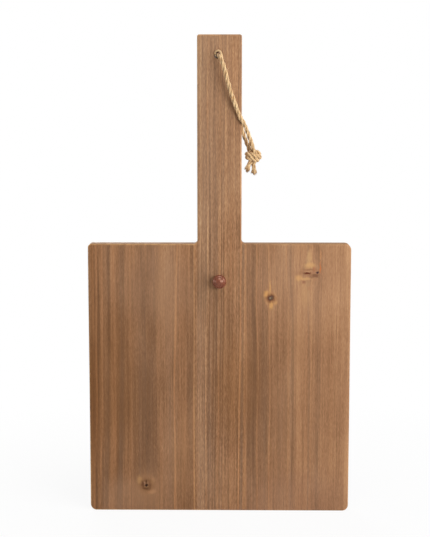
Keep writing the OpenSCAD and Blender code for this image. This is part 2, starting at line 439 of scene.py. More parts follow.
# Drills a round hole along X or Y
def drill(piece, centre, diameter, depth, axis):
    turn = (0, math.pi / 2, 0) if axis == "x" else (math.pi / 2, 0, 0)
    selectNone()
    bpy.ops.mesh.primitive_cylinder_add(
        vertices=boardSet["drillSides"], radius=diameter / 2 * mm, depth=depth * mm,
        location=Vector(centre) * mm, rotation=turn,
    )
    bit = bpy.context.object
    makeActive(piece)
    bpy.ops.object.modifier_add(type="BOOLEAN")
    piece.modifiers[-1].object = bit
    piece.modifiers[-1].operation = "DIFFERENCE"
    bpy.ops.object.modifier_apply(modifier=piece.modifiers[-1].name)
    bpy.data.objects.remove(bit)


# Cuts the mesh into a grid along X and Z, fine enough for the grain's relief
def cutGrid(piece, xs, zs):
    makeActive(piece)
    toMode("EDIT")
    for places, way in ((xs, (1, 0, 0)), (zs, (0, 0, 1))):
        for place in places:
            bpy.ops.mesh.select_all(action="SELECT")
            bpy.ops.mesh.bisect(plane_co=Vector(way) * float(place) * mm, plane_no=way)
    toMode("OBJECT")


# Boards: wood is described by stops across the front face (x, tone, warmth), each from 0 to 1, by a broad
# shading (x, lift), by where the tree's middle lay, and by its knots, their pits (x, z, half width,
# half height, depth) and its marks (x, z, half width, half height, colour, cover)
leftGrain = {
    "stops": [
        (-152.5, 0.44, 0.6), (-149, 0.24, 0.72), (-146, 0.36, 0.7), (-144, 0.6, 0.85), (-142.3, 0.3, 0.55),
        (-140, 0.45, 0.6), (-137.5, 0.66, 0.75), (-135, 0.46, 0.45), (-131.5, 0.42, 0.4),
        (-129.7, 0.18, 0.35), (-128, 0.46, 0.5), (-126, 0.6, 0.75), (-120, 0.53, 0.65), (-116, 0.42, 0.35),
        (-113.5, 0.34, 0.3), (-110.5, 0.52, 0.5), (-109, 0.62, 0.6), (-103, 0.54, 0.65),
        (-97, 0.46, 0.45), (-90, 0.38, 0.38), (-80, 0.36, 0.36), (-74, 0.45, 0.45), (-68.5, 0.56, 0.6),
        (-63, 0.53, 0.35), (-53.5, 0.5, 0.4), (-52, 0.78, 0.95), (-50.3, 0.46, 0.55), (-43, 0.48, 0.65),
        (-38, 0.45, 0.55), (-34, 0.32, 0.4), (-31, 0.48, 0.5), (-29.5, 0.6, 0.7),
    ],
    "broad": [
        (-152.5, -0.05), (-147, -0.1), (-141, -0.09), (-131, -0.01), (-119, -0.03), (-107, -0.04),
        (-96, -0.01), (-84, -0.01), (-72, 0.03), (-61, 0.04), (-49, 0.03), (-38, 0.02), (-29.5, 0),
    ],
    "pith": (-80, 70), "lean": -0.016, "wander": 0.9, "contrast": 0.54, "calmAbove": 0,
    "fine": 0.5, "dashes": 0.21, "tint": 0.85, "shade": -0.015, "paleTop": 0.1,
    "knots": [{"at": (-86, 30), "bend": 6, "stretch": 0.55}],
    "pits": [(-86, 30.4, 1.3, 1.6, 0.5)],
    "marks": [
        (-126, 150, 36, 100, (126, 80, 36), 0.2), (-148, 120, 7, 85, (98, 60, 30), 0.35),
        (-70, 268, 55, 42, (142, 112, 90), 0.2), (-117, 16, 24, 26, (162, 126, 98), 0.3),
        (-107, 135, 12, 65, (100, 70, 46), 0.2), (-86, 132, 9, 70, (98, 68, 45), 0.2),
        (-66, 255, 13, 45, (176, 134, 98), 0.2), (-45, 60, 12, 50, (168, 128, 92), 0.15),
        (-86, 22, 20, 30, (156, 116, 84), 0.45), (-86, 30.5, 12, 12, (172, 126, 86), 0.35),
        (-94, 37, 3.4, 5, (186, 142, 92), 0.45), (-80, 23, 5.4, 3, (186, 136, 96), 0.4),
        (-78.5, 36, 2.6, 4, (176, 132, 90), 0.35),
        (-86.2, 31, 9.2, 8.8, (112, 76, 49), 0.8), (-90.6, 31.4, 1.6, 4.4, (88, 56, 38), 0.75),
        (-86.8, 26.8, 4.6, 1.6, (86, 56, 34), 0.75), (-82, 30, 1.3, 3, (98, 66, 44), 0.5),
        (-86, 36.6, 4.4, 1.2, (108, 76, 52), 0.45), (-88.2, 33, 1.2, 2.4, (160, 120, 92), 0.6),
        (-84.2, 33, 1.1, 2.2, (150, 112, 84), 0.45), (-86, 28.2, 2.4, 0.8, (164, 124, 84), 0.45),
        (-86.2, 34.2, 0.6, 3.2, (66, 42, 28), 0.85), (-86.2, 30.2, 1.7, 1.8, (40, 24, 17), 1),
    ],
}
staveGrain = {
    "stops": [
        (-29.5, 0.5, 0.6), (-27, 0.52, 0.5), (-25.5, 0.4, 0.35), (-24, 0.62, 0.35), (-22.6, 0.45, 0.3),
        (-21.3, 0.66, 0.35), (-19.6, 0.44, 0.3), (-18, 0.56, 0.32), (-17, 0.38, 0.3), (-15.7, 0.8, 0.5),
        (-14.2, 0.5, 0.4), (-12.4, 0.2, 0.32), (-11, 0.42, 0.32), (-9.6, 0.57, 0.42), (-8.4, 0.4, 0.36),
        (-7, 0.28, 0.4), (-5.6, 0.48, 0.4), (-4.4, 0.26, 0.4), (-2.6, 0.5, 0.5), (-0.4, 0.58, 0.6),
        (1.2, 0.36, 0.4), (2.6, 0.52, 0.45), (3.8, 0.3, 0.4), (5.8, 0.68, 0.6), (7.5, 0.48, 0.5),
        (13, 0.46, 0.55), (19, 0.48, 0.55), (22.3, 0.46, 0.5), (23.8, 0.7, 0.85), (25.6, 0.34, 0.3),
        (27.6, 0.46, 0.4), (29.5, 0.5, 0.6),
    ],
    "broad": [(-29.5, 0), (-22, 0.06), (-14, 0.02), (-4, 0), (29.5, 0)],
    "pith": (-230, 30), "lean": -0.007, "wander": 0.4, "contrast": 0.54, "calmAbove": 0.36,
    "fine": 0.84, "dashes": 0.32, "tint": 1.35, "shade": 0, "paleTop": 0.06,
    "knots": [], "pits": [],
    "marks": [
        (-19, 268, 9, 42, (104, 76, 54), 0.34), (2, 215, 19, 62, (104, 72, 48), 0.3),
        (6, 30, 18, 35, (172, 132, 98), 0.18), (18, 155, 24, 62, (126, 82, 38), 0.22),
    ],
}
rightGrain = {
    "stops": [
        (29.5, 0.44, 0.5), (31.3, 0.66, 0.85), (33, 0.46, 0.4), (35.5, 0.34, 0.3), (37.3, 0.45, 0.45),
        (39.5, 0.3, 0.3), (42.5, 0.2, 0.28), (43.6, 0.38, 0.4), (44.8, 0.66, 0.85), (46.3, 0.46, 0.45),
        (52, 0.38, 0.3), (57.2, 0.42, 0.4), (58.4, 0.7, 0.95), (59.6, 0.48, 0.55), (66, 0.46, 0.5),
        (78.8, 0.47, 0.45), (80.4, 0.64, 0.75), (82, 0.46, 0.4), (84.8, 0.3, 0.22), (87.5, 0.46, 0.45),
        (92, 0.58, 0.7), (98, 0.52, 0.6), (102, 0.58, 0.7), (103.8, 0.36, 0.25), (106, 0.58, 0.7),
        (110, 0.5, 0.5), (114.5, 0.32, 0.35), (119, 0.5, 0.55), (134, 0.54, 0.58), (135.2, 0.63, 0.6),
        (136.5, 0.54, 0.55), (152.5, 0.6, 0.6),
    ],
    "broad": [
        (29.5, -0.01), (44, -0.04), (55, -0.01), (67, -0.02), (78, 0), (90, 0.025), (102, 0.015),
        (113, -0.015), (125, 0.015), (136, 0.01), (143, 0.03), (148, 0.09), (152.5, 0.13),
    ],
    "pith": (150, 85), "lean": 0.004, "wander": 0.9, "contrast": 0.5, "calmAbove": 0,
    "fine": 0.5, "dashes": 0.2, "tint": 0.6, "shade": 0.02, "paleTop": 0.06,
    "knots": [
        {"at": (105, 285.3), "bend": 7, "stretch": 0.6},
        {"at": (59.4, 254.9), "bend": 4.5, "stretch": 0.5},
    ],
    "marks": [
        (100, 16, 75, 34, (150, 116, 98), 0.14), (100, 272, 62, 52, (170, 134, 108), 0.14),
        (36, 155, 13, 62, (112, 72, 34), 0.24), (50, 150, 12, 50, (108, 76, 52), 0.14),
        (75, 115, 12, 45, (108, 76, 52), 0.16), (90, 205, 8, 60, (186, 142, 102), 0.15),
        (104, 302, 3.4, 10, (204, 162, 112), 0.45), (99.5, 260, 6.5, 18, (188, 146, 102), 0.35),
        (104.6, 293, 7, 3.4, (206, 160, 104), 0.55), (92, 278.8, 4.5, 4.2, (204, 156, 98), 0.5),
        (100.4, 277.4, 6, 1.8, (204, 158, 104), 0.5), (89, 284.2, 3.4, 4.2, (150, 110, 82), 0.5),
        (105.6, 284.4, 13, 6, (152, 108, 78), 0.6), (107.5, 281.8, 10, 1.5, (124, 86, 60), 0.45),
        (94.6, 284.6, 3.2, 2.2, (140, 98, 70), 0.45), (107.6, 279.4, 3.4, 1.3, (120, 82, 58), 0.5),
        (112, 281, 3.8, 2.4, (108, 72, 52), 0.75), (104, 288.2, 9, 1.4, (134, 94, 64), 0.5),
        (103.4, 286.2, 4.4, 1, (178, 134, 98), 0.45), (109.6, 289.2, 1.8, 3, (160, 98, 70), 0.5),
        (116.8, 290.8, 0.9, 6.5, (192, 108, 58), 0.75), (117, 305, 0.8, 9, (200, 142, 92), 0.45),
        (101.9, 283.8, 4.2, 1.4, (88, 36, 20), 1), (113.3, 285, 1.8, 1.6, (66, 42, 44), 1),
        (97.7, 274, 2.4, 2.2, (136, 88, 68), 0.75), (104.3, 266.2, 2.8, 2.6, (160, 112, 82), 0.4),
        (54.4, 259.8, 3.2, 4.4, (208, 154, 90), 0.6), (60.2, 246.8, 2.4, 5.4, (208, 156, 92), 0.65),
        (65.4, 250, 3, 2.6, (198, 148, 94), 0.45), (59, 266, 1.2, 9, (202, 150, 90), 0.5),
        (59.4, 254.9, 7.4, 7.2, (194, 142, 90), 0.55), (59.4, 254.9, 5.6, 5.4, (86, 42, 31), 1),
        (59.5, 255, 2.8, 2.7, (94, 78, 62), 0.9), (59, 255.6, 1.1, 1, (150, 132, 106), 0.8),
    ],
    "pits": [(102.3, 283.8, 3, 0.9, 0.6), (113.3, 285, 1.2, 1.1, 0.5), (59.4, 254.9, 0.9, 0.9, 0.3)],
}
boardSet = {
    "cornerRadius": 7, "leftTopRadius": 4.5, "cornerSegments": 10,  # one corner is sharper than the rest
    "handleRadius": 2.5, "handleSteps": 6, "innerRadius": 4, "innerSteps": 8, "drillSides": 48,
    "rimRadius": 1.8, "rimSegments": 4, "smoothDegrees": 40, "wearSpread": 0.2,
    "cutEveryX": 1.5, "cutEveryZ": 6, "pitCuts": (-3, -2, -1.2, -0.6, 0.6, 1.2, 2, 3), "pitCutsHigh": 0.7,
    "seamGroove": 0.25, "seamGrooveWide": 0.5,
    "relief": 0.18, "highTone": 0.8, "edgeSway": 0.1, "edgeWave": 41, "edgeFrom": 100,
    "dowelBore": 8.2, "dowelBoreLong": 42, "dowelLevels": (44.5, 139.9, 235.3),
    "holeDiameter": 8, "holeRim": 0.9, "holeRimSegments": 3, "tenonBore": 8.2, "tenonDeep": 12,
}


# Sets a socket to a plain value, or links it to a wire or another socket
def feed(value, socket):
    if isinstance(value, Wire):
        value = value.socket
    if isinstance(value, bpy.types.NodeSocket):
        socket.id_data.links.new(value, socket)
    else:
        socket.default_value = value


# Adds a node with its settings and with what goes into its sockets
def addNode(tree, kind, sockets=None, **settings):
    node = tree.nodes.new("ShaderNode" + kind)
    for setting, value in settings.items():
        setattr(node, setting, value)
    for socket, value in (sockets or {}).items():
        feed(value, node.inputs[socket])
    return node


# A number that is carried along a wire of a material, with plain arithmetic
class Wire:
    def __init__(self, socket):
        self.socket = socket
        self.tree = socket.id_data

    def calc(self, operation, *others):
        sockets = dict(enumerate((self, *others)))
        return Wire(addNode(self.tree, "Math", sockets, operation=operation).outputs[0])

    def clipped(self):
        return self.calc("MAXIMUM", 0.0).calc("MINIMUM", 1.0)

    def __add__(self, other):
        return self.calc("ADD", other)

    def __sub__(self, other):
        return self.calc("SUBTRACT", other)

    def __mul__(self, other):
        return self.calc("MULTIPLY", other)

    def __truediv__(self, other):
        return self.calc("DIVIDE", other)


def wave(value):
    return value.calc("SINE") if isinstance(value, Wire) else np.sin(value)


def root(value):
    if isinstance(value, Wire):
        return value.calc("MAXIMUM", 0.0).calc("SQRT")
    return np.sqrt(np.maximum(value, 0))


def signOf(value):
    return value.calc("SIGN") if isinstance(value, Wire) else np.sign(value)


# Where a point's growth ring meets the front face, and the ring's distance from the tree's middle.
# It works on wires for the colour and on arrays for the relief
def ringPlace(x, y, z, grain):
    pithX, pithY = grain["pith"]
    sway = wave(z * (1 / 61) + x * (1 / 37)) + wave(z * (1 / 23) + x * (1 / 11)) * 0.35  # slow and quick
    x = x + sway * grain["wander"] + (z - bladeTop / 2) * grain["lean"]
    for knot in grain["knots"]:
        across = x - knot["at"][0]
        along = (z - knot["at"][1]) * knot["stretch"]
        pull = knot["bend"] ** 2
        x = x - across * pull / (across * across + along * along + pull * 0.35)  # eased in its middle
    across = x - pithX
    deep = y - pithY
    ring = across * across + deep * deep
    met = root(ring - (faceY - pithY) ** 2) * signOf(across) + pithX
    return met, root(ring)


# Presses the grain, the pits and the seams into the faces, and marks the rounded rims for wear, stain and
# painted light and shade
def pressGrain(piece, grain, seams):
    mesh = piece.data
    points = np.empty(len(mesh.vertices) * 3)
    mesh.vertices.foreach_get("co", points)
    points = points.reshape(-1, 3) / mm
    normals = np.empty(len(mesh.vertices) * 3)
    mesh.vertices.foreach_get("normal", normals)
    normals = normals.reshape(-1, 3)
    rimWearAndLight = np.clip((1 - np.abs(normals).max(axis=1)) / boardSet["wearSpread"], 0, 1)
    x, y, z = points.T.copy()
    onFace = np.abs(y) > backY - closeEnough
    met = ringPlace(x, y, z, grain)[0]
    stops = np.array(grain["stops"])
    tone = np.interp(met, stops[:, 0], stops[:, 1])
    depth = boardSet["relief"] * np.clip(boardSet["highTone"] - tone, 0, 1)  # dark bands lie deeper
    depth = depth * (1 + 0.3 * np.sin(z / 17 + x / 5))
    for pitX, pitZ, wide, high, deep in grain["pits"]:
        spread = ((x - pitX) / wide) ** 2 + ((z - pitZ) / high) ** 2
        depth = depth + deep * np.exp(-spread) * (y < 0)
    for seam in seams:
        depth = depth + boardSet["seamGroove"] * (np.abs(x - seam) < closeEnough)
    points[:, 1] -= np.sign(y) * depth * onFace
    outside = np.abs(x) - seamX > boardSet["edgeFrom"]
    sway = (1 + np.sin(z / boardSet["edgeWave"] + x)) / 2
    points[:, 0] -= np.sign(x) * boardSet["edgeSway"] * outside * sway
    mesh.vertices.foreach_set("co", (points * mm).ravel())
    wornAndLitRim = mesh.attributes.new("rimWearAndLight", "FLOAT", "POINT")
    wornAndLitRim.data.foreach_set("value", rimWearAndLight)
    mesh.update()


# Lines to cut at: evenly, close beside the seams, and closer around each pit
def cutPlaces(low, high, every, extra):
    places = list(np.arange(low + every / 2, high, every)) + extra
    return sorted(set(round(place, 3) for place in places if low < place < high))


def gridFor(low, high, grain, seams):
    besideSeams = [seam + side * boardSet["seamGrooveWide"] for seam in seams for side in (-1, 1)]
    steps = boardSet["pitCuts"]
    xs = [pit[0] + step for pit in grain["pits"] for step in steps]
    zs = [pit[1] + step * boardSet["pitCutsHigh"] for pit in grain["pits"] for step in steps]
    return (
        cutPlaces(low.x, high.x, boardSet["cutEveryX"], xs + besideSeams),
        cutPlaces(low.z, high.z, boardSet["cutEveryZ"], zs),
    )


def onOneFace(a, b):
    return near(abs(a.y), backY) and near(a.y, b.y)


# Rounds a board's edges, but not along its seams
def roundRim(piece, seams):
    def onRim(a, b):
        return onOneFace(a, b) and not any(near(a.x, seam) and near(b.x, seam) for seam in seams)

    roundEdges(piece, onRim, boardSet["rimRadius"], boardSet["rimSegments"])


def onHoleRim(a, b):
    inHole = boardSet["holeDiameter"] / 2 + closeEnough
    close = all(math.hypot(point.x - hole.x, point.z - hole.z) < inHole for point in (a, b))
    return onOneFace(a, b) and close


def finishBoard(piece, node, grain, seams):
    low, high = boxInMm(node)
    cutGrid(piece, *gridFor(low, high, grain, seams))
    pressGrain(piece, grain, seams)
    makeActive(piece)
    bpy.ops.object.shade_smooth_by_angle(angle=math.radians(boardSet["smoothDegrees"]))
    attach(piece, "board")
    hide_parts(node)


def startBoard(name, low, high):
    selectNone()
    bpy.ops.mesh.primitive_cube_add(size=1, location=(low + high) / 2 * mm, scale=(high - low) * mm)
    bpy.ops.object.transform_apply(location=True, rotation=True, scale=True)
    piece = bpy.context.object
    piece.name = name
    return piece


def boreDowels(piece, seam):
    for level in boardSet["dowelLevels"]:
        drill(piece, (seam, 0, level), boardSet["dowelBore"], boardSet["dowelBoreLong"], "x")


def sidePlank(name, node, grain, topRadius):
    low, high = boxInMm(node)
    outer = max(low.x, high.x, key=abs)
    seam = min(low.x, high.x, key=abs)
    piece = startBoard(name, low, high)
    for level, radius in ((high.z, topRadius), (low.z, boardSet["cornerRadius"])):
        corner = Vector((outer, 0, level))
        roundEdges(
            piece, lambda a, b: all(near(p.x, corner.x) and near(p.z, corner.z) for p in (a, b)),
            radius, boardSet["cornerSegments"],
        )
    roundRim(piece, [seam])
    boreDowels(piece, seam)
    finishBoard(piece, node, grain, [seam])
    return piece


# Draws a chain of points, a vertex extruded again and again, and leaves it open for editing
def drawChain(name, points):
    selectNone()
    bpy.ops.mesh.primitive_plane_add(size=mm)
    piece = bpy.context.object
    piece.name = name
    toMode("EDIT")
    bpy.ops.mesh.select_mode(type="VERT")
    bpy.ops.mesh.select_all(action="SELECT")
    bpy.ops.mesh.merge(type="CENTER")
    bpy.ops.transform.translate(value=points[0] * mm)
    for here, there in zip(points, points[1:]):
        bpy.ops.mesh.extrude_vertices_move(TRANSFORM_OT_translate={"value": (there - here) * mm})
    bpy.ops.mesh.select_all(action="SELECT")
    return piece


def arcPoints(x, z, radius, start, end, steps):
    angles = np.radians(np.linspace(start, end, steps + 1))
    return [Vector((x + radius * math.cos(a), faceY, z + radius * math.sin(a))) for a in angles]


# The stave's outline: straight up the seam, in to the handle by a fillet, and over its top
def staveOutline(low, high):
    inner, outer = boardSet["innerRadius"], boardSet["handleRadius"]
    handleHalf = seamX - inner
    half = [Vector((seamX, faceY, low.z))]
    half += arcPoints(seamX, bladeTop + inner, inner, -90, -180, boardSet["innerSteps"])
    half += arcPoints(handleHalf - outer, high.z - outer, outer, 0, 90, boardSet["handleSteps"])
    return half + [Vector((-point.x, point.y, point.z)) for point in reversed(half)]


def centreStave(name, node, grain):
    low, high = boxInMm(node)
    piece = drawChain(name, staveOutline(low, high))
    bpy.ops.mesh.edge_face_add()
    bpy.ops.mesh.extrude_region_move(TRANSFORM_OT_translate={"value": (0, (backY - faceY) * mm, 0)})
    bpy.ops.mesh.select_all(action="SELECT")
    bpy.ops.mesh.normals_make_consistent(inside=False)
    toMode("OBJECT")
    seams = [-seamX, seamX]
    roundRim(piece, seams)
    drill(piece, hole, boardSet["holeDiameter"], 2 * (backY - faceY), "y")
    roundEdges(piece, onHoleRim, boardSet["holeRim"], boardSet["holeRimSegments"])
    pegLow, pegHigh = boxInMm("hanging_peg")
    tenonAt = (0, faceY, (pegLow.z + pegHigh.z) / 2)
    drill(piece, tenonAt, boardSet["tenonBore"], 2 * boardSet["tenonDeep"], "y")
    for seam in seams:
        boreDowels(piece, seam)
    finishBoard(piece, node, grain, seams)
    return piece


leftPlank = sidePlank("left_plank_wood", "left_plank", leftGrain, boardSet["leftTopRadius"])
rightPlank = sidePlank("right_plank_wood", "right_plank", rightGrain, boardSet["cornerRadius"])
stave = centreStave("centre_stave_wood", "centre_stave", staveGrain)
print("boards shaped:", [len(piece.data.polygons) for piece in (leftPlank, stave, rightPlank)])

# Peg: its outline is (radius, distance out from the face), turned around the peg's axis
pegSet = {
    "tenon": [(0, -11), (3.4, -11), (4, -10.4), (4, -0.2)],
    "neck": [(4.5, 0), (4.5, 3.6), (4.7, 4.4), (5.3, 5.3), (6.3, 6), (7.3, 6.5)],
    "rim": [
        (7.8, 6.9), (8, 7.4), (8, 8.2), (7.85, 8.75), (7.4, 9.45), (6.8, 10.15), (6.1, 10.75),
        (5.7, 10.95),
    ],
    "groove": [(5.55, 10.95), (5.45, 11.1)],
    "domeRadius": 5.4, "domeFrom": 11.3, "domeHeight": 2.5, "domeSteps": 12, "turnSteps": 96,
    "weld": 0.002, "smoothDegrees": 50,
}


def turnedPeg(name):
    low, high = boxInMm("hanging_peg")
    centre = Vector((0, faceY, (low.z + high.z) / 2))
    outline = pegSet["tenon"] + pegSet["neck"] + pegSet["rim"] + pegSet["groove"]
    ball = (pegSet["domeRadius"] ** 2 + pegSet["domeHeight"] ** 2) / (2 * pegSet["domeHeight"])
    for step in range(pegSet["domeSteps"] + 1):
        radius = pegSet["domeRadius"] * (1 - step / pegSet["domeSteps"])
        sunk = ball - math.sqrt(ball**2 - radius**2)
        outline = outline + [(radius, pegSet["domeFrom"] + pegSet["domeHeight"] - sunk)]
    piece = drawChain(name, [centre + Vector((radius, -out, 0)) for radius, out in outline])
    bpy.ops.mesh.spin(
        steps=pegSet["turnSteps"], angle=2 * math.pi, center=centre * mm, axis=(0, 1, 0)
    )
    bpy.ops.mesh.select_all(action="SELECT")
    bpy.ops.mesh.remove_doubles(threshold=pegSet["weld"] * mm)
    bpy.ops.mesh.normals_make_consistent(inside=False)
    toMode("OBJECT")
    bpy.ops.object.shade_smooth_by_angle(angle=math.radians(pegSet["smoothDegrees"]))
    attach(piece, "board")
    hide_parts("hanging_peg")
    return piece


peg = turnedPeg("turned_peg")
print("peg turned:", len(peg.data.polygons), "faces")


# Materials are made of these few steps
def paint(red, green, blue):
    shares = (value / 255 for value in (red, green, blue))
    return (*(s / 12.92 if s <= 0.04045 else ((s + 0.055) / 1.055) ** 2.4 for s in shares), 1)


def newMaterial(name):
    material = bpy.data.materials.new(name)
    material.use_nodes = True
    tree = material.node_tree
    return material, tree, tree.nodes["Principled BSDF"]


# Where a point is in the frame, in millimetres
def objectPlace(tree):
    place = addNode(tree, "TexCoord").outputs["Object"]
    return addNode(tree, "VectorMath", {0: place, "Scale": 1 / mm}, operation="SCALE").outputs[0]


# A vector's X, Y and Z
def axesOf(vector):
    axes = addNode(vector.id_data, "SeparateXYZ", {0: vector})
    return [Wire(socket) for socket in axes.outputs]


# A share that goes from 0 to 1 while a wire goes from one value to another
def shareBetween(wire, start, end):
    return ((wire - start) * (1 / (end - start))).clipped()


# The sum of some parts of a grain, each times its weight, on top of a start
def weigh(parts, weights, start):
    weighed = [parts[name] * weight for name, weight in weights.items()]
    return sum(weighed[1:], weighed[0]) + start


seedSteps = (7.3, 3.1, 5.7)  # how far a seed moves a noise along X, Y and Z


# Noise from -1 to 1 or so, with its size along X, Y and Z in the vector's own units
def speckle(vector, sizes, seed, detail=2):
    tree = vector.id_data
    sockets = {0: vector, 1: [1 / size for size in sizes], 2: [seed * step for step in seedSteps]}
    moved = addNode(tree, "VectorMath", sockets, operation="MULTIPLY_ADD")
    noise = addNode(tree, "TexNoise", {"Vector": moved.outputs[0], "Scale": 1, "Detail": detail})
    return (Wire(noise.outputs[0]) - 0.5) * 2


# Several of them, each with its sizes and its seed
def speckles(vector, noises):
    return {name: speckle(vector, sizes, seed) for name, (sizes, seed) in noises.items()}


def lineNoise(wire, size):
    noise = addNode(wire.tree, "TexNoise", {"W": wire, "Scale": 1 / size}, noise_dimensions="1D")
    return (Wire(noise.outputs[0]) - 0.5) * 2


def colourRamp(wire, stops):
    ramp = addNode(wire.tree, "ValToRGB", {0: wire})
    elements = ramp.color_ramp.elements
    while len(elements) < len(stops):
        elements.new(1)
    for element, (place, colour) in zip(elements, stops):
        element.position = place
        element.color = colour
    return ramp.outputs["Color"]


def blendColours(share, first, second):
    sockets = {0: share, 6: first, 7: second}
    return addNode(share.tree, "Mix", sockets, data_type="RGBA", clamp_factor=True).outputs[2]


def readAttribute(tree, name):
    return Wire(addNode(tree, "Attribute", attribute_name=name).outputs["Fac"])


# Colour, roughness, gloss and bump, as a finish's settings give them
def finishMaterial(shader, colour, parts, settings):
    feed(colour, shader.inputs["Base Color"])
    if "rough" in settings:
        feed(weigh(parts, *settings["rough"]), shader.inputs["Roughness"])
    for socket, value in settings["gloss"].items():
        feed(value, shader.inputs[socket])
    height = weigh(parts, *settings["relief"])
    strength, distance = settings["bump"]
    sockets = {"Strength": strength, "Distance": distance * mm, "Height": height}
    feed(addNode(shader.id_data, "Bump", sockets).outputs[0], shader.inputs["Normal"])


# Stained softwood, from deep brown to pale, and its tints. A look that several parts of the grain share in
# gives the weight of each, and what they are added to
woodSet = {
    "tones": [
        (0, paint(84, 58, 39)), (0.3, paint(120, 85, 58)), (0.5, paint(148, 108, 77)),
        (0.7, paint(174, 133, 97)), (1, paint(208, 172, 131)),
    ],
    "warm": paint(190, 126, 74), "cool": paint(122, 106, 92), "wornAndLitRim": paint(196, 152, 104),
    # The stain colour also paints shade on the rear rims, and the bore colour paints shade in the hole
    "stainAndShade": paint(100, 70, 46), "boreShade": paint(66, 42, 25),
    "endDark": paint(122, 86, 54), "endPale": paint(180, 140, 98),
    "noises": {  # size along X, Y and Z, and seed
        "fibres": ((0.5, 0.5, 22), 2), "dashes": ((0.7, 0.7, 4.5), 12), "streaks": ((1.5, 1.5, 130), 4),
        "bars": ((2.3, 2.3, 170), 13), "clouds": ((38, 38, 90), 5), "chips": ((5, 5, 5), 15),
        "ragX": ((3, 9, 4), 3), "ragZ": ((4, 9, 3), 14),
    },
    "patchSize": (9, 9, 80), "ringWidth": 1.6,
    "zones": {"lower": (250, 170), "nearFoot": (75, 25)}, "handleRise": 60,
    "fade": ({"patches": 0.75, "nearFoot": -0.25}, 0), "middleTone": 0.47,
    "fineTone": ({"rings": 0.14, "fibres": 0.16, "streaks": 0.26}, 0),
    # The handle is painted a little lighter, as painted light from above
    "tone": ({"bars": 0.12, "clouds": 0.16, "onHandle": 0.06}, 0.47),
    "warmth": ({"bars": 0.3, "onHandle": -0.1}, 0),
    "warmFrom": 0.52, "warmShare": 0.65, "coolFrom": 0.48, "coolShare": -0.8, "coolClouds": 0.15,
    "markX": ({"ragX": 1.6, "dashes": 0.6}, 0), "markZ": ({"ragZ": 1.6, "streaks": 1.2}, 0),
    "markFall": -0.5, "markCore": 1.25, "endFrom": 0.8, "endSharp": 4,
    "endShare": ({"rings": 0.6, "fibres": 0.5, "streaks": 0.4, "clouds": 0.3}, 0.55),
    # Wear on the rims; the left rims are also painted paler and the right rims less pale, as painted light,
    # and the rear rims get less of it
    "rimWearAndLight": (
        {"streaks": 0.4, "clouds": 0.5, "chips": 0.8, "nearFoot": 0.3, "side": -0.3, "behind": -0.6}, 0.38,
    ),
    # Stain on chipped rims, and painted shade on the rear rims
    "stainAndShadeShare": ({"chips": -2.5, "behind": 0.9}, -0.8),
    "rough": ({"fibres": 0.08, "streaks": 0.08}, 0.62), "gloss": {"Specular IOR Level": 0.1},
    "relief": ({"fibres": 0.5, "dashes": 0.3, "streaks": 0.4, "rings": 0.3}, 0), "bump": (0.5, 0.25),
}


# A soft spot of another colour
def paintMark(colour, x, z, mark):
    atX, atZ, wide, high, tint, cover = mark
    across, along = (x - atX) * (1 / wide), (z - atZ) * (1 / high)
    close = ((across * across + along * along) * woodSet["markFall"] + 1).calc("MAXIMUM", 0.0)
    share = (close * close * (woodSet["markCore"] * cover)).calc("MINIMUM", cover)
    return blendColours(share, colour, paint(*tint))


# Colours across the front face, between the first and the last of a board's stops
def faceRamp(wire, grain, stops):
    first, last = grain["stops"][0][0], grain["stops"][-1][0]
    placed = [((place - first) / (last - first), colour) for place, colour in stops]
    return colourRamp((wire - first) * (1 / (last - first)), placed)


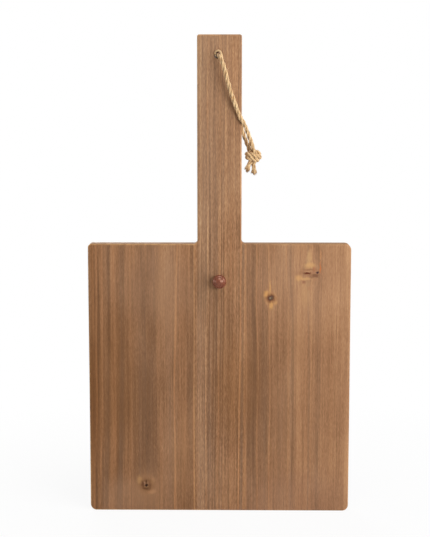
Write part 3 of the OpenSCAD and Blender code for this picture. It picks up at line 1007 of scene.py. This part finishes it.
def woodMaterial(name, grain):
    material, tree, shader = newMaterial(name)
    vector = objectPlace(tree)
    x, y, z = axesOf(vector)
    met, ring = ringPlace(x, y, z, grain)
    parts = speckles(vector, woodSet["noises"])
    parts["patches"] = speckle(vector, woodSet["patchSize"], seed=1, detail=1)
    parts["rings"] = lineNoise(ring, woodSet["ringWidth"])
    for zone, (start, end) in woodSet["zones"].items():
        parts[zone] = shareBetween(z, start, end)
    parts["onHandle"] = shareBetween(z, bladeTop, bladeTop + woodSet["handleRise"])
    parts["behind"] = (y * (1 / backY)).calc("MAXIMUM", 0.0)
    # Which side of the board a point is on, for the painted light on the rims
    parts["side"] = signOf(x)

    def share(look):
        return weigh(parts, *woodSet[look])

    # Tone and warmth of the bands, with finer grain and marks over them
    bands = [(place, (tone, warmth, 0, 1)) for place, tone, warmth in grain["stops"]]
    split = addNode(tree, "SeparateColor", {0: faceRamp(met, grain, bands)})
    tone, warmth = Wire(split.outputs[0]), Wire(split.outputs[1])
    lifts = [(place, (0.5 + lift,) * 3 + (1,)) for place, lift in grain["broad"]]
    broad = Wire(faceRamp(x, grain, lifts)) - 0.5
    fade = share("fade") - parts["onHandle"] * grain["calmAbove"] + grain["contrast"]
    tone = (tone - woodSet["middleTone"]) * fade + share("fineTone") * grain["fine"]
    tone = tone + share("tone") + parts["dashes"] * grain["dashes"] + grain["shade"]
    # Painted light: each board is darker below about 250 mm and paler above, as light from above would make
    # it
    tone = tone + broad - parts["lower"] * grain["paleTop"]
    warmth = warmth + share("warmth")
    colour = colourRamp(tone, woodSet["tones"])
    warm = (warmth - woodSet["warmFrom"]) * (woodSet["warmShare"] * grain["tint"])
    colour = blendColours(warm, colour, woodSet["warm"])
    cool = (warmth - woodSet["coolFrom"]) * (woodSet["coolShare"] * grain["tint"])
    colour = blendColours(cool + parts["clouds"] * woodSet["coolClouds"], colour, woodSet["cool"])
    raggedX = x + share("markX")
    raggedZ = z + share("markZ")
    for mark in grain["marks"]:
        colour = paintMark(colour, raggedX, raggedZ, mark)

    # End grain on what faces up or down, worn and stained rims with painted light and shade on them, and
    # painted shade in the bore
    upright = axesOf(tree.nodes["Texture Coordinate"].outputs["Normal"])[2].calc("ABSOLUTE")
    endGrain = blendColours(share("endShare"), woodSet["endDark"], woodSet["endPale"])
    colour = blendColours((upright - woodSet["endFrom"]) * woodSet["endSharp"], colour, endGrain)
    rim = readAttribute(tree, "rimWearAndLight")
    # Paler rims: wear, with painted light on the left rims
    colour = blendColours(rim * share("rimWearAndLight"), colour, woodSet["wornAndLitRim"])
    # Darker rims: stain where chipped, and painted shade on the rear rims
    colour = blendColours(rim * share("stainAndShadeShare"), colour, woodSet["stainAndShade"])
    # Painted shade in the hole's bore and over its rounded rim
    fromHole = root((x - hole.x) * (x - hole.x) + (z - hole.z) * (z - hole.z))
    inBore = (fromHole - boardSet["holeDiameter"] / 2) * (-1 / boardSet["holeRim"]) + 1
    colour = blendColours(inBore, colour, woodSet["boreShade"])
    finishMaterial(shader, colour, parts, woodSet)
    return material


# Peg: red-brown wood under a gloss lacquer
pegPaint = {
    "dark": paint(62, 24, 13), "pale": paint(142, 70, 46),
    "noises": {"streaks": ((0.6, 9, 5), 6), "clouds": ((7, 7, 7), 7)},
    "paleShare": ({"streaks": 0.5, "clouds": 0.3}, 0.45), "rough": ({"streaks": 0.06}, 0.28),
    "gloss": {"Specular IOR Level": 0.8, "Specular Tint": (1, 0.7, 0.52, 1)},
    "relief": ({"streaks": 1}, 0), "bump": (0.12, 0.1),
}
# Dowels: bare beech with short flecks
dowelPaint = {
    "dark": paint(176, 134, 92), "pale": paint(214, 178, 132), "noises": {"flecks": ((5, 0.5, 0.5), 8)},
    "paleShare": ({"flecks": 0.6}, 0.5), "rough": ({"flecks": 0.1}, 0.6), "gloss": {},
    "relief": ({"flecks": 1}, 0), "bump": (0.2, 0.2),
}
# Jute: pale fibres along each ply, with painted shade between the plies
jutePaint = {
    "dark": paint(172, 122, 71), "pale": paint(242, 212, 163), "foldShade": paint(106, 62, 28), "foldShadeShare": 0.75,
    "noises": {"patches": ((5, 5, 5), 10)}, "fibres": {"sizes": (5, 0.3, 1), "detail": 3, "seed": 9},
    "paleShare": ({"fibres": 0.9, "patches": 0.4}, 0.58), "relief": ({"fibres": 1}, 0), "bump": (0.6, 0.25),
    "gloss": {
        "Roughness": 0.9, "Specular IOR Level": 0.15, "Sheen Weight": 0.25, "Sheen Roughness": 0.5,
    },
}


# Two colours that a few noises blend. Jute also has fibres along the strand and painted shade in its folds
def blendedMaterial(name, settings):
    material, tree, shader = newMaterial(name)
    parts = speckles(objectPlace(tree), settings["noises"])
    if "fibres" in settings:
        strandMap = addNode(tree, "UVMap", uv_map="strand")
        parts["fibres"] = speckle(strandMap.outputs[0], **settings["fibres"])
    pale = weigh(parts, *settings["paleShare"])
    colour = blendColours(pale, settings["dark"], settings["pale"])
    if "foldShade" in settings:
        # Painted shade, through the fold attribute: darker between the plies and in and near the hole
        foldShade = readAttribute(tree, "foldShade")
        colour = blendColours(foldShade * foldShade * settings["foldShadeShare"], colour, settings["foldShade"])
    finishMaterial(shader, colour, parts, settings)
    return material


def dress(piece, material):
    piece.data.materials.clear()
    piece.data.materials.append(material)


dress(leftPlank, woodMaterial("stained_wood_left", leftGrain))
dress(stave, woodMaterial("stained_wood_stave", staveGrain))
dress(rightPlank, woodMaterial("stained_wood_right", rightGrain))
dress(peg, blendedMaterial("lacquered_wood", pegPaint))
jute = blendedMaterial("twisted_jute", jutePaint)
for piece in (frontCord, backCord, knotPiece, tailPiece, fuzzPiece, yarnPiece):
    dress(piece, jute)
beech = blendedMaterial("bare_beech", dowelPaint)
for node in ("left_seam_dowels", "right_seam_dowels"):
    dress(frame["nodes"][node], beech)
print("materials made")

# Stage: a pale floor that fades into white, and soft lights
stageSet = {
    "floorSize": 8000, "floorPaint": paint(238, 238, 238), "floorRoughness": 0.9,
    "shadowFrom": 200, "shadowTo": 600, "shadowShare": 0.1, "ambient": 0.2,
    "lights": [
        {"name": "key", "at": (1370, -2190, 930), "size": 760, "watts": 22.5},
        {"name": "side", "at": (1490, -930, 620), "size": 900, "watts": 17},
        {"name": "top", "at": (150, -550, 1500), "size": 800, "watts": 9},
        {"name": "back", "at": (-450, 1350, 420), "size": 700, "watts": 10},
        {"name": "edge", "at": (-1500, 30, 420), "size": 500, "watts": 4.5},  # grazes the left edges
    ],
    "lightAim": (0, 0, 320),
}


# A share that is 1 for what the camera sees, straight, in gloss or through glass
def seenShare(tree):
    path = addNode(tree, "LightPath")
    seen = Wire(path.outputs["Is Camera Ray"])
    for name in ("Is Glossy Ray", "Is Transmission Ray"):
        seen = seen.calc("MAXIMUM", Wire(path.outputs[name]))
    return seen


def layFloor():
    selectNone()
    bpy.ops.mesh.primitive_plane_add(size=stageSet["floorSize"] * mm)
    floor = bpy.context.object
    floor.name = "pale_floor"
    material, tree, shader = newMaterial("pale_floor")
    x, y = axesOf(objectPlace(tree))[:2]
    away = shareBetween(root(x * x + y * y), stageSet["shadowFrom"], stageSet["shadowTo"])
    clear = away * stageSet["shadowShare"] + (1 - stageSet["shadowShare"])
    feed(stageSet["floorPaint"], shader.inputs["Base Color"])
    feed(stageSet["floorRoughness"], shader.inputs["Roughness"])
    white = addNode(tree, "Emission")
    sockets = {0: clear * seenShare(tree), 1: shader.outputs[0], 2: white.outputs[0]}
    mix = addNode(tree, "MixShader", sockets)
    feed(mix.outputs[0], tree.nodes["Material Output"].inputs["Surface"])
    dress(floor, material)


def lightWorld():
    world = bpy.data.worlds.new("studio")
    scene.world = world
    world.use_nodes = True
    tree = world.node_tree
    background = tree.nodes["Background"]
    feed((1, 1, 1, 1), background.inputs["Color"])
    strength = seenShare(tree) * (1 - stageSet["ambient"]) + stageSet["ambient"]
    feed(strength, background.inputs["Strength"])


def hangLight(settings):
    place = Vector(settings["at"])
    turn = (place - Vector(stageSet["lightAim"])).to_track_quat("Z", "Y").to_euler()
    bpy.ops.object.light_add(type="AREA", location=place * mm, rotation=turn)
    light = bpy.context.object
    light.name = settings["name"]
    light.data.size = settings["size"] * mm
    light.data.energy = settings["watts"]


layFloor()
lightWorld()
for settings in stageSet["lights"]:
    hangLight(settings)
print("stage lit")
